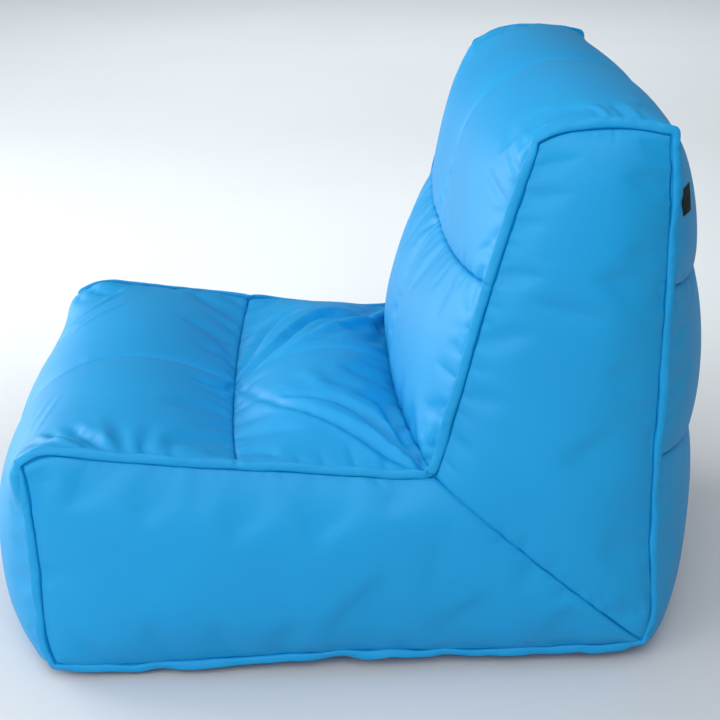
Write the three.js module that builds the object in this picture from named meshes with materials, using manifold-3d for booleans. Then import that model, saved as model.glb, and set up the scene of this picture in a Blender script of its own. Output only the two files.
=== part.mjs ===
// A bean bag lounge chair: an L-shaped sewn cover of coated fabric, closed under the base by a zip,
// over a seat liner and a back liner that hold polystyrene beads. Millimetres, +Z up. The chair faces -Y,
// +X is the sitter's left, and the origin is on the floor under the middle of the chair.
import * as THREE from 'three';
import { mergeGeometries, mergeVertices } from 'three/addons/utils/BufferGeometryUtils.js';
import Module from 'manifold-3d';

// ---- Driving dimensions -------------------------------------------------------------------------
const RIM_HALF = 363;          // from the middle to the seam round each side
const SIDE_BULGE = 36;         // how far a side stands out past that seam
const SIDE_BULGE_REACH = 170;  // distance from the rim at which a side has its whole bulge
const CROWN_POWER = 2.6;       // how flat the strip stays across the middle before it drops to the rim
const BASE_POWER = 8;          // the same for the base, which lies on the floor
const PUFF = 9;                // how far each quilted field stands above its seams
const FABRIC = 2;              // thickness of a cover panel
const SEAM_GAP = 2.6;          // from a panel's edge to the middle of its seam
const ACROSS = 5;              // grid steps from the middle to the rim
const MITRE_STEPS = 6;         // grid steps along the seam that halves a side, and along the front and top

const WELT_HEIGHT = 13;        // the flat flange that stands up along the rim
const WELT_THICK = 8;

const LINER_DEPTH = 5.5;       // from the cover's outside to the liner's outside
const LINER = 1.6;             // thickness of a liner
const FILL_GAP = 1.4;          // from a liner to its beads
const FILL_DEPTH = LINER_DEPTH + LINER + FILL_GAP;
const MITRE_GAP = 1.5;         // from the mitre plane to each liner

const BASE_FLAT = 322;         // half width of the part of the base that lies on the floor
const BASE_RIM_LIFT = 17;      // the base's height where it meets the rim
const ZIP_LIFT = 7.5;          // the base's height beside its zip
const ZIP_RECESS_HALF = 48;    // half width of the recess that the zip lies in
const ZIP_ROOM_TOP = 13.5;     // height of the room that the liners leave for the zip

const CHAIN_HALF = 4;          // half width of a zip's two coils side by side
const CHAIN_GAP = 1.4;         // between the coils, where the slider's wedge runs
const COIL_HEIGHT = 2.4;
const TAPE = 0.8;              // thickness of zip tape
const TAPE_HALF = 16;          // half width of the two tapes
const TAPE_ENDS = 20;          // how much longer the tapes are than the opening
const COIL_ENDS = 10;
const SLIDER_INSET = 20;
const STOP_INSET = 2.5;
const SLIDER = { half: 6.2, length: 15, plate: 1.1, wedge: 0.7, clearance: 0.35 };
const PULL = { half: 3.6, length: 26, thick: 1.4, bar: 1.2 };

const COVER_ZIP = { length: 600, y: 60 };
const SEAT_ZIP = { length: 260, x: 170, y: -150, z: 7.4 };
const BACK_ZIP = { length: 200, x: 0, y: 593.6, z: 300 };

const LABEL = { width: 32, height: 38, thick: 0.8, z: 701, from_rim: 14, lift: 1.5 };

// ---- Outline of the chair, one stretch per side of the L and per seam ----------------------------
// Each stretch gives its (y, z) points at the rim and down the middle, where the strip stands out.
// They run up the front, along the seat, up the backrest, over the top, down the rear and back below.
const STRETCHES = {
  front: { steps: 6, heightPowers: [BASE_POWER, CROWN_POWER],
    rim: [[-368, 26], [-378, 80], [-379, 190], [-384, 290], [-390, 344]],
    middle: [[-437, 1], [-462, 45], [-468, 120], [-462, 205], [-428, 293]] },
  seat_front: { steps: 6,
    rim: [[-390, 344], [-352, 359], [-290, 352], [-166, 338], [-91, 331]],
    middle: [[-428, 293], [-386, 329], [-330, 352], [-275, 360], [-224, 355], [-161, 335], [-106, 309]] },
  seat_rear: { steps: 5,
    rim: [[-91, 331], [-4, 324], [124, 311], [186, 310]],
    middle: [[-106, 309], [-57, 338], [0, 360], [56, 368], [110, 355], [148, 335]] },
  back_lower: { steps: 7,
    rim: [[186, 310], [209, 389], [243, 523], [261, 592]],
    middle: [[148, 335], [157, 400], [177, 481], [203, 540], [226, 574]] },
  back_upper: { steps: 6,
    rim: [[261, 592], [294, 705], [318, 788]],
    middle: [[226, 574], [241, 626], [252, 680], [268, 735], [300, 778]] },
  top: { steps: 6,
    rim: [[318, 788], [360, 803], [430, 806], [493, 797]],
    middle: [[300, 778], [341, 808], [395, 824], [455, 818], [508, 788]] },
  rear_upper: { steps: 5,
    rim: [[493, 797], [497, 705], [498, 583]],
    middle: [[508, 788], [545, 735], [573, 655], [589, 555]] },
  rear_middle: { steps: 4,
    rim: [[498, 583], [497, 440], [496, 331]],
    middle: [[589, 555], [602, 450], [604, 370], [601, 300]] },
  rear_lower: { steps: 4, heightPowers: [CROWN_POWER, BASE_POWER],
    rim: [[496, 331], [498, 200], [505, 90], [497, 34]],
    middle: [[601, 300], [603, 220], [596, 110], [581, 30], [560, 1]] },
  base: { steps: 11, heightPowers: [BASE_POWER, BASE_POWER], flat: true,
    rim: [[497, 34], [280, 29], [80, 33], [-90, 28], [-300, 20], [-368, 26]],
    middle: [[560, 1], [80, 1], [-437, 1]] },
};

// The cover's strip is cut into these panels, each a left and a right half.
const STRIP_PANELS = {
  seat_front_panel: ['front', 'seat_front'],
  seat_rear_panel: ['seat_rear'],
  back_lower_panel: ['back_lower'],
  back_upper_panel: ['back_upper', 'top', 'rear_upper'],
  rear_middle_panel: ['rear_middle'],
  rear_lower_panel: ['rear_lower'],
};

const MATERIALS = {
  cover: new THREE.MeshStandardMaterial({ color: '#1f97e0', roughness: 0.5, metalness: 0 }),
  welt: new THREE.MeshStandardMaterial({ color: '#1f97e0', roughness: 0.5, metalness: 0 }),
  base: new THREE.MeshStandardMaterial({ color: '#1b7fc0', roughness: 0.7, metalness: 0 }),
  label: new THREE.MeshStandardMaterial({ color: '#101114', roughness: 0.8, metalness: 0 }),
  zip_tape: new THREE.MeshStandardMaterial({ color: '#1878b8', roughness: 0.85, metalness: 0 }),
  zip_coil: new THREE.MeshStandardMaterial({ color: '#1a6ea8', roughness: 0.4, metalness: 0 }),
  zip_metal: new THREE.MeshStandardMaterial({ color: '#b9bcc0', roughness: 0.3, metalness: 1 }),
  liner: new THREE.MeshStandardMaterial({ color: '#eef0f0', roughness: 0.9, metalness: 0 }),
  beads: new THREE.MeshStandardMaterial({ color: '#fafafa', roughness: 0.8, metalness: 0 }),
};

const wasm = await Module();
wasm.setup();

const chair = new THREE.Group();

function add(name, geometry, material) {
  const mesh = new THREE.Mesh(geometry, MATERIALS[material]);
  mesh.name = name;
  chair.add(mesh);
}

// ---- Solids and booleans --------------------------------------------------------------------------
const bareOf = (geometry) => geometry.clone().deleteAttribute('normal').deleteAttribute('uv');

function solidOf(geometry) {
  const merged = mergeVertices(bareOf(geometry), 1e-3);
  return new wasm.Manifold(new wasm.Mesh({
    numProp: 3,
    vertProperties: merged.attributes.position.array,
    triVerts: new Uint32Array(merged.index.array),
  }));
}

function geometryOf(solid) {
  const mesh = solid.getMesh();
  return new THREE.BufferGeometry()
    .setAttribute('position', new THREE.BufferAttribute(mesh.vertProperties, 3))
    .setIndex(new THREE.BufferAttribute(mesh.triVerts, 1));
}

// A box between two corners.
function block(low, high) {
  const size = high.map((value, i) => value - low[i]);
  const middle = high.map((value, i) => (value + low[i]) / 2);
  return new THREE.BoxGeometry(...size).translate(...middle);
}

// ---- The strip's surface --------------------------------------------------------------------------
for (const stretch of Object.values(STRETCHES)) {
  stretch.rimCurve = new THREE.SplineCurve(stretch.rim.map((p) => new THREE.Vector2(...p)));
  stretch.middleCurve = new THREE.SplineCurve(stretch.middle.map((p) => new THREE.Vector2(...p)));
}

function stepsOf(names) {
  return names.reduce((sum, name) => sum + STRETCHES[name].steps, 0);
}

// The stretch that grid line `at` falls in, and how far along it, 0 to 1.
function locate(names, at) {
  let rest = at;
  for (const name of names.slice(0, -1)) {
    if (rest <= STRETCHES[name].steps) return [STRETCHES[name], rest / STRETCHES[name].steps];
    rest -= STRETCHES[name].steps;
  }
  const last = STRETCHES[names.at(-1)];
  return [last, Math.min(1, Math.max(0, rest / last.steps))];
}

// A point of the left half of the cover's outside: `at` counts grid lines along the panel, and `across` is
// 0 in the middle and 1 at the rim.
function stripPoint(names, at, across) {
  const [stretch, share] = locate(names, at);
  const rim = stretch.rimCurve.getPointAt(share);
  const middle = stretch.middleCurve.getPointAt(share);
  const tangent = stretch.middleCurve.getTangentAt(share);
  const along = at / stepsOf(names);
  const puff = stretch.flat ? 0 : PUFF * 16 * along * (1 - along) * across * (1 - across);
  const [first, last] = stretch.heightPowers ?? [CROWN_POWER, CROWN_POWER];
  const y = THREE.MathUtils.lerp(middle.x, rim.x, across ** CROWN_POWER);
  const z = THREE.MathUtils.lerp(middle.y, rim.y, across ** THREE.MathUtils.lerp(first, last, share));
  return new THREE.Vector3(RIM_HALF * across, y - tangent.y * puff, z + tangent.x * puff);
}

// ---- The sides' surface ---------------------------------------------------------------------------
const RIM_LOOP = Object.values(STRETCHES).flatMap((stretch) =>
  Array.from({ length: stretch.steps }, (_, i) => stretch.rimCurve.getPointAt(i / stretch.steps)));

function distanceToRim(point) {
  const segment = new THREE.Line3();
  const nearest = new THREE.Vector3();
  const at = new THREE.Vector3(point.x, point.y, 0);
  return Math.min(...RIM_LOOP.map((start, i) => {
    const end = RIM_LOOP[(i + 1) % RIM_LOOP.length];
    segment.start.set(start.x, start.y, 0);
    segment.end.set(end.x, end.y, 0);
    return segment.closestPointToPoint(at, true, nearest).distanceTo(at);
  }));
}

function rimPoint(names, share) {
  const [stretch, along] = locate(names, share * stepsOf(names));
  return stretch.rimCurve.getPointAt(along);
}

const CROOK = STRETCHES.back_lower.rimCurve.getPoint(0);
const REAR_CORNER = STRETCHES.base.rimCurve.getPoint(0);
const mitrePoint = (share) => CROOK.clone().lerp(REAR_CORNER, share);

// Each side is two four-cornered panels that meet at the mitre seam. `a` runs from the chair's front or
// foot to its rear or top, and `b` from the outline's outer edge to its inner one.
const SIDE_PANELS = {
  side_seat_panel: { steps: [stepsOf(['base']), MITRE_STEPS],
    bottom: (a) => rimPoint(['base'], 1 - a), top: (a) => rimPoint(['seat_front', 'seat_rear'], a),
    start: (b) => rimPoint(['front'], b), end: (b) => mitrePoint(1 - b) },
  side_back_panel: { steps: [stepsOf(['back_lower', 'back_upper']), MITRE_STEPS],
    bottom: (a) => rimPoint(['rear_upper', 'rear_middle', 'rear_lower'], 1 - a),
    top: (a) => rimPoint(['back_lower', 'back_upper'], a),
    start: (b) => mitrePoint(1 - b), end: (b) => rimPoint(['top'], 1 - b) },
};

function sidePoint({ bottom, top, start, end }, a, b) {
  const blend = (p, q, share) => p.clone().lerp(q, share);
  const flat = blend(bottom(a), top(a), b).add(blend(start(b), end(b), a))
    .sub(blend(blend(bottom(0), bottom(1), a), blend(top(0), top(1), a), b));
  const share = Math.min(1, distanceToRim(flat) / SIDE_BULGE_REACH);
  const bulge = SIDE_BULGE * (1 - (1 - share) ** 2);
  return new THREE.Vector3(RIM_HALF + bulge, flat.x, flat.y);
}

// ---- Panels: a sheet over a surface, thickened inwards --------------------------------------------
// `surface(a, b)` gives the outside for 0 to 1 each way, and `inset` is what is left free at each edge.
function sheetOver(surface, steps, inset, reversed) {
  const sheet = new THREE.PlaneGeometry(1, 1, ...steps);
  const { position } = sheet.attributes;
  for (let i = 0; i < position.count; i++) {
    const a = THREE.MathUtils.clamp(position.getX(i) + 0.5, inset[0], 1 - inset[0]);
    const b = THREE.MathUtils.clamp(position.getY(i) + 0.5, inset[1], 1 - inset[1]);
    position.setXYZ(i, ...surface(a, b));
  }
  if (reversed) sheet.index.array.reverse();
  sheet.computeVertexNormals();
  return sheet;
}

function thicken(sheet, thickness) {
  const { position, normal } = sheet.attributes;
  const outside = [];
  const inside = [];
  for (let i = 0; i < position.count; i++) {
    const point = new THREE.Vector3().fromBufferAttribute(position, i);
    const out = new THREE.Vector3().fromBufferAttribute(normal, i);
    outside.push(...point);
    inside.push(...point.addScaledVector(out, -thickness));
  }
  const faces = [...sheet.index.array];
  const index = [...faces, ...faces.toReversed().map((i) => i + position.count)];
  const corners = faces.map((from, i) => [from, faces[i % 3 === 2 ? i - 2 : i + 1]]);
  const edges = new Set(corners.map(String));
  for (const [from, to] of corners) {
    if (edges.has(String([to, from]))) continue;
    index.push(to, from, from + position.count, to, from + position.count, to + position.count);
  }
  return new THREE.BufferGeometry()
    .setAttribute('position', new THREE.Float32BufferAttribute([...outside, ...inside], 3))
    .setIndex(index);
}

// The same piece on the other side of the chair.
function mirrored(geometry) {
  const copy = geometry.clone().scale(-1, 1, 1);
  copy.index.array.reverse();
  return copy;
}

function stripPanel(names) {
  const steps = stepsOf(names);
  const length = names.reduce((sum, name) => sum + STRETCHES[name].middleCurve.getLength(), 0);
  const surface = (a, b) => stripPoint(names, a * steps, b);
  return thicken(sheetOver(surface, [steps, ACROSS], [SEAM_GAP / length, SEAM_GAP / RIM_HALF], true), FABRIC);
}

function sidePanel(panel) {
  const surface = (a, b) => sidePoint(panel, a, b);
  const inset = [SEAM_GAP / panel.top(0).distanceTo(panel.top(1)),
    SEAM_GAP / panel.start(0).distanceTo(panel.start(1))];
  return thicken(sheetOver(surface, panel.steps, inset, false), FABRIC);
}

// ---- Base: a section extruded from front to rear, trimmed to its curved ends ----------------------
function basePanel() {
  const section = new THREE.Shape([
    [SEAM_GAP, ZIP_LIFT], [ZIP_RECESS_HALF, 0], [BASE_FLAT, 0], [RIM_HALF - SEAM_GAP, BASE_RIM_LIFT],
    [RIM_HALF - SEAM_GAP, BASE_RIM_LIFT + FABRIC], [BASE_FLAT, FABRIC], [ZIP_RECESS_HALF, FABRIC],
    [SEAM_GAP, ZIP_LIFT + FABRIC],
  ].map(([x, z]) => new THREE.Vector2(x, z)));
  const { rim, middle } = STRETCHES.base;
  const rear = middle[0][0] - 2 * SEAM_GAP;
  const front = middle.at(-1)[0] + 2 * SEAM_GAP;
  const swept = new THREE.ExtrudeGeometry(section, { depth: rear - front, bevelEnabled: false })
    .rotateX(Math.PI / 2).translate(0, rear, 0);
  const footprint = new THREE.Shape();
  footprint.moveTo(0, front);
  footprint.quadraticCurveTo(RIM_HALF / 2, front, RIM_HALF, rim.at(-1)[0] + 2 * SEAM_GAP);
  footprint.lineTo(RIM_HALF, rim[0][0] - 2 * SEAM_GAP);
  footprint.quadraticCurveTo(RIM_HALF / 2, rear, 0, rear);
  footprint.closePath();
  const prism = new THREE.ExtrudeGeometry(footprint, { depth: 200, bevelEnabled: false, curveSegments: 6 })
    .translate(0, 0, -50);
  const half = COVER_ZIP.length / 2;
  const slot = block([0, COVER_ZIP.y - half, 0], [SLIDER.half + 1.8, COVER_ZIP.y + half, 2 * ZIP_LIFT]);
  return geometryOf(solidOf(swept).intersect(solidOf(prism)).subtract(solidOf(slot)));
}

// ---- Welt: a flat flange round each side ----------------------------------------------------------
function welt() {
  const outward = RIM_LOOP.map((_, i) => {
    const before = RIM_LOOP.at(i - 1);
    const after = RIM_LOOP[(i + 1) % RIM_LOOP.length];
    const tangent = after.clone().sub(before).normalize();
    return new THREE.Vector2(-tangent.y, tangent.x);
  });
  const ring = (distance) => RIM_LOOP.map((p, i) => p.clone().addScaledVector(outward[i], distance));
  const shape = new THREE.Shape(ring(WELT_HEIGHT).reverse());
  shape.holes.push(new THREE.Path(ring(0)));
  const flange = new THREE.ExtrudeGeometry(shape, { depth: WELT_THICK, bevelEnabled: false })
    .rotateX(Math.PI / 2).rotateZ(Math.PI / 2).translate(RIM_HALF, 0, 0);
  return mergeVertices(bareOf(flange), 1e-3);
}

// ---- Inside: the closed skin of the whole bag, moved inwards --------------------------------------
const leftPatches = [
  ...[...Object.values(STRIP_PANELS), ['base']].map((names) =>
    sheetOver((a, b) => stripPoint(names, a * stepsOf(names), b), [stepsOf(names), ACROSS], [0, 0], true)),
  ...Object.values(SIDE_PANELS).map((panel) =>
    sheetOver((a, b) => sidePoint(panel, a, b), panel.steps, [0, 0], false)),
].map(bareOf);
const skin = mergeVertices(mergeGeometries([...leftPatches, ...leftPatches.map(mirrored)]), 0.05);

function bagSolid(depth) {
  const bag = skin.clone();
  bag.computeVertexNormals();
  const { position, normal } = bag.attributes;
  for (let i = 0; i < position.count; i++) {
    position.setXYZ(i, position.getX(i) - depth * normal.getX(i), position.getY(i) - depth * normal.getY(i),
      position.getZ(i) - depth * normal.getZ(i));
  }
  return solidOf(bag.deleteAttribute('normal'));
}

// Everything on one side of the mitre plane: in front and below it for the seat, behind it for the back.
function mitreHalf(part, gap) {
  const REACH = 3000;
  const slope = Math.atan2(REAR_CORNER.y - CROOK.y, REAR_CORNER.x - CROOK.x);
  const low = part === 'seat' ? -REACH : gap;
  const high = part === 'seat' ? -gap : REACH;
  return solidOf(block([-REACH, -REACH, low], [REACH, REACH, high])
    .rotateX(slope).translate(0, CROOK.x, CROOK.y));
}

// Room that is kept free over the cover's zip and the recess it lies in, with the same room made larger.
function coverZipRoom(grow) {
  const foot = ZIP_RECESS_HALF + 4 + grow;
  const ridge = TAPE_HALF + 2 + grow;
  const section = new THREE.Shape([
    [-foot, -20], [foot, -20], [foot, FABRIC + 1.5 + grow], [ridge, ZIP_ROOM_TOP + grow],
    [-ridge, ZIP_ROOM_TOP + grow], [-foot, FABRIC + 1.5 + grow],
  ].map(([x, z]) => new THREE.Vector2(x, z)));
  return solidOf(new THREE.ExtrudeGeometry(section, { depth: 1400, bevelEnabled: false })
    .rotateX(Math.PI / 2).translate(0, 700, 0));
}

const SLOT_HALF = SLIDER.half + 1;

// The slot in a liner behind its zip, with the same slot made larger for the beads.
function slotRoom(part, grow) {
  const zip = part === 'seat' ? SEAT_ZIP : BACK_ZIP;
  const half = [SLOT_HALF + grow, zip.length / 2 + grow, 15];
  const slot = part === 'seat' ? block(half.map((v) => -v), half)
    : block(half.map((v) => -v), half).rotateX(Math.PI / 2);
  return solidOf(slot.translate(zip.x, zip.y, zip.z));
}

// A liner: a bag with one wall along the mitre and a slot for its zip, dented over the cover's zip.
function liner(part) {
  const outer = bagSolid(LINER_DEPTH).intersect(mitreHalf(part, MITRE_GAP)).subtract(coverZipRoom(0));
  const inner = bagSolid(LINER_DEPTH + LINER).intersect(mitreHalf(part, MITRE_GAP + LINER))
    .subtract(coverZipRoom(LINER));
  return geometryOf(outer.subtract(inner).subtract(slotRoom(part, 0)));
}

function beadFill(part) {
  return geometryOf(bagSolid(FILL_DEPTH).intersect(mitreHalf(part, MITRE_GAP + LINER + FILL_GAP))
    .subtract(coverZipRoom(LINER + FILL_GAP)).subtract(slotRoom(part, TAPE_ENDS / 2 + 2)));
}

// ---- Zips ----------------------------------------------------------------------------------------
// A zip lies along Y with its outside facing -Z, its chain in the plane z = 0, and its slider closed at +Y.
const HALF_COIL = COIL_HEIGHT / 2;

function zipTape(length, side) {
  return block([side > 0 ? CHAIN_HALF - 2 : -TAPE_HALF, -length / 2, HALF_COIL + 0.3],
    [side > 0 ? TAPE_HALF : 2 - CHAIN_HALF, length / 2, HALF_COIL + 0.3 + TAPE]);
}

function zipCoil(length, side) {
  const bar = new THREE.Shape();
  const inner = CHAIN_GAP / 2;
  const round = 0.8;
  bar.moveTo(inner, -HALF_COIL + round);
  bar.quadraticCurveTo(inner, -HALF_COIL, inner + round, -HALF_COIL);
  bar.lineTo(CHAIN_HALF - round, -HALF_COIL);
  bar.quadraticCurveTo(CHAIN_HALF, -HALF_COIL, CHAIN_HALF, -HALF_COIL + round);
  bar.lineTo(CHAIN_HALF, HALF_COIL);
  bar.lineTo(inner, HALF_COIL);
  bar.closePath();
  const coil = new THREE.ExtrudeGeometry(bar, { depth: length, bevelEnabled: false, curveSegments: 2 })
    .rotateX(Math.PI / 2).translate(0, length / 2, 0);
  return side > 0 ? coil : coil.rotateZ(Math.PI);
}

// Two plates joined by a wedge between the coils, with rims that hold the coils in, and a bridge on the
// outer plate where there is a pull.
function zipSlider(bridged) {
  const { half, length, plate, wedge, clearance } = SLIDER;
  const inside = HALF_COIL + clearance;
  const innerPlate = inside + 0.3 + TAPE;
  const outline = (low, high) => {
    const shape = new THREE.Shape();
    shape.moveTo(-half * 0.75, -length / 2);
    shape.lineTo(half * 0.75, -length / 2);
    shape.quadraticCurveTo(half, -length / 4, half, length / 4);
    shape.lineTo(half * 0.8, length / 2);
    shape.lineTo(-half * 0.8, length / 2);
    shape.lineTo(-half, length / 4);
    shape.quadraticCurveTo(-half, -length / 4, -half * 0.75, -length / 2);
    const settings = { depth: high - low, bevelEnabled: false, curveSegments: 3 };
    return solidOf(new THREE.ExtrudeGeometry(shape, settings).translate(0, 0, low));
  };
  let body = outline(-inside - plate, innerPlate + plate);
  body = body.subtract(solidOf(block([-CHAIN_HALF - clearance, -length, -inside],
    [CHAIN_HALF + clearance, length, innerPlate])));
  body = body.subtract(solidOf(block([-2 * half, -length, HALF_COIL - 0.1], [2 * half, length, innerPlate])));
  body = body.add(solidOf(block([-wedge / 2, length / 2 - 4.5, -inside - plate / 2],
    [wedge / 2, length / 2 - 0.5, innerPlate + plate / 2])));
  if (bridged) {
    const BRIDGE = { half: 1.3, length: 9, height: 3.2, wall: 1 };
    const low = -inside - plate;
    const foot = low - BRIDGE.height;
    body = body.add(solidOf(block([-BRIDGE.half, -BRIDGE.length / 2, foot],
      [BRIDGE.half, BRIDGE.length / 2, low + plate / 2])));
    body = body.subtract(solidOf(block([-half, -BRIDGE.length / 2 + BRIDGE.wall, foot + BRIDGE.wall],
      [half, BRIDGE.length / 2 - BRIDGE.wall, low])));
  }
  return geometryOf(body);
}

const PULL_PIVOT = [0, -2.2, -HALF_COIL - SLIDER.clearance - SLIDER.plate - 1.1];

// A tab whose slotted end has a cross bar through the slider's bridge; it lies towards -Y.
function zipPull() {
  const [, y, z] = PULL_PIVOT;
  const { half, length, thick, bar } = PULL;
  const tab = new THREE.Shape();
  tab.moveTo(-half, bar / 2);
  tab.lineTo(half, bar / 2);
  tab.lineTo(half, -length + half);
  tab.absarc(0, -length + half, half, 0, -Math.PI, true);
  tab.closePath();
  const slot = new THREE.Path();
  slot.moveTo(-half + bar, -bar / 2);
  slot.lineTo(-half + bar, -bar / 2 - 6);
  slot.lineTo(half - bar, -bar / 2 - 6);
  slot.lineTo(half - bar, -bar / 2);
  slot.closePath();
  tab.holes.push(slot);
  return new THREE.ExtrudeGeometry(tab, { depth: thick, bevelEnabled: false, curveSegments: 6 })
    .translate(0, y, z - thick / 2);
}

function addZip(prefix, length, place, pulled) {
  const parts = [
    [prefix + '_tape_left', zipTape(length + TAPE_ENDS, 1), 'zip_tape'],
    [prefix + '_tape_right', zipTape(length + TAPE_ENDS, -1), 'zip_tape'],
    [prefix + '_coil_left', zipCoil(length - COIL_ENDS, 1), 'zip_coil'],
    [prefix + '_coil_right', zipCoil(length - COIL_ENDS, -1), 'zip_coil'],
    [prefix + '_slider', zipSlider(pulled).translate(0, length / 2 - SLIDER_INSET, 0), 'zip_metal'],
  ];
  if (pulled) {
    const STOP = { half: CHAIN_HALF + 1, length: 4 };
    const corner = [STOP.half, STOP.length / 2, HALF_COIL];
    const stop = () => block(corner.map((value) => -value), corner);
    parts.push([prefix + '_pull', zipPull().translate(0, length / 2 - SLIDER_INSET, 0), 'zip_metal']);
    parts.push([prefix + '_top_stop', stop().translate(0, length / 2 - STOP_INSET, 0), 'zip_metal']);
    parts.push([prefix + '_bottom_stop', stop().translate(0, STOP_INSET - length / 2, 0), 'zip_metal']);
  }
  for (const [name, geometry, material] of parts) add(name, place(geometry), material);
}

// ---- Label: a woven tag sewn on the rear, beside the left rim --------------------------------------
function label() {
  const { rimCurve, rim, steps } = STRETCHES.rear_upper;
  const lineAt = (z) => ((rim[0][1] - z) / rimCurve.getLength()) * steps;
  const start = lineAt(LABEL.z + LABEL.height / 2);
  const end = lineAt(LABEL.z - LABEL.height / 2);
  const outer = 1 - LABEL.from_rim / RIM_HALF;
  const inner = outer - LABEL.width / RIM_HALF;
  const surface = (a, b) => stripPoint(['rear_upper'], THREE.MathUtils.lerp(start, end, a),
    THREE.MathUtils.lerp(inner, outer, b));
  const sheet = sheetOver(surface, [2, 2], [0, 0], true);
  const { position, normal } = sheet.attributes;
  for (let i = 0; i < position.count; i++) {
    const out = new THREE.Vector3().fromBufferAttribute(normal, i);
    const at = new THREE.Vector3().fromBufferAttribute(position, i);
    position.setXYZ(i, ...at.addScaledVector(out, LABEL.lift));
  }
  return thicken(sheet, LABEL.thick);
}

// ---- Assembly -------------------------------------------------------------------------------------
function addPair(name, geometry, material) {
  add(`${name}_left`, geometry, material);
  add(`${name}_right`, mirrored(geometry), material);
}

for (const [name, names] of Object.entries(STRIP_PANELS)) addPair(name, stripPanel(names), 'cover');
for (const [name, panel] of Object.entries(SIDE_PANELS)) addPair(name, sidePanel(panel), 'cover');
addPair('base_panel', basePanel(), 'base');
addPair('welt', welt(), 'welt');

for (const part of ['seat', 'back']) {
  add(`${part}_liner`, liner(part), 'liner');
  add(`${part}_bead_fill`, beadFill(part), 'beads');
}

const CHAIN_Z = ZIP_LIFT + FABRIC - HALF_COIL;
addZip('cover_zip', COVER_ZIP.length, (g) => g.translate(0, COVER_ZIP.y, CHAIN_Z), true);
addZip('seat_liner_zip', SEAT_ZIP.length, (g) => g.translate(SEAT_ZIP.x, SEAT_ZIP.y, SEAT_ZIP.z), false);
addZip('back_liner_zip', BACK_ZIP.length,
  (g) => g.rotateX(Math.PI / 2).translate(BACK_ZIP.x, BACK_ZIP.y, BACK_ZIP.z), false);
add('woven_label', label(), 'label');

// The origin goes on the floor, under the middle of the chair.
const box = new THREE.Box3().setFromObject(chair);
const centre = box.getCenter(new THREE.Vector3());
chair.position.set(0, -centre.y, -box.min.z);

export default chair;
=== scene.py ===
"""A bean bag lounge chair: an L-shaped cover of coated fabric with flanged side seams and a zip in its base,
over bead-filled liners. Metres, +Z up. The chair faces -Y, and +X is the sitter's left."""
import math

import bmesh
import bpy
import numpy as np
from mathutils import Matrix, Vector
from mathutils.bvhtree import BVHTree


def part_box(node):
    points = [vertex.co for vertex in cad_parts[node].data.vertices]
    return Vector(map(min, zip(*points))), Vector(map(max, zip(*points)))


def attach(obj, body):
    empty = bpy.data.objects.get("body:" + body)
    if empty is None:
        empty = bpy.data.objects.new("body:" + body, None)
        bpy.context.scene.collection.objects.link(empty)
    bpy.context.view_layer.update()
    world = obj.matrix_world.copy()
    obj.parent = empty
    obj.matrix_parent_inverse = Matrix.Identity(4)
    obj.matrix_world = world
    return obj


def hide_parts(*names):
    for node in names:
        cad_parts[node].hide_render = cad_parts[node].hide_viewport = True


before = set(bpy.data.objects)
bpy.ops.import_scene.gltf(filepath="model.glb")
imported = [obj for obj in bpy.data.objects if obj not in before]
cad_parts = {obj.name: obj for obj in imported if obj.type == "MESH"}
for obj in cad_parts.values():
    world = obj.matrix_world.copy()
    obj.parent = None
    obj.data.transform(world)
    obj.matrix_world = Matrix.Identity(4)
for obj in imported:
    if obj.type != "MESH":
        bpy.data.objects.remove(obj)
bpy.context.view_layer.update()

MM = 0.001

# ---- Driving dimensions, the same as the CAD model's, in metres ----
RIM_HALF = 363 * MM
SIDE_BULGE = 34 * MM
MITRE_BULGE = 22 * MM
CROWN_POWER = 2.6
BASE_POWER = 8
PUFF = 8 * MM
COVER_THICK = 1.6 * MM
FLANGE_HEIGHT = 12 * MM
COVER_ZIP_Y = 60 * MM
RECESS_HALF = 48 * MM
ZIP_LIFT = 7.5 * MM

# Grid steps: how much finer the cloth is than the CAD's stretches, and how much finer it ends up.
FINE = 5
ACROSS = 30
REFINE = 9
KEEP_EVERY = 3
FINE_EDGE = 14 * MM
ROUNDING = 6

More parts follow.
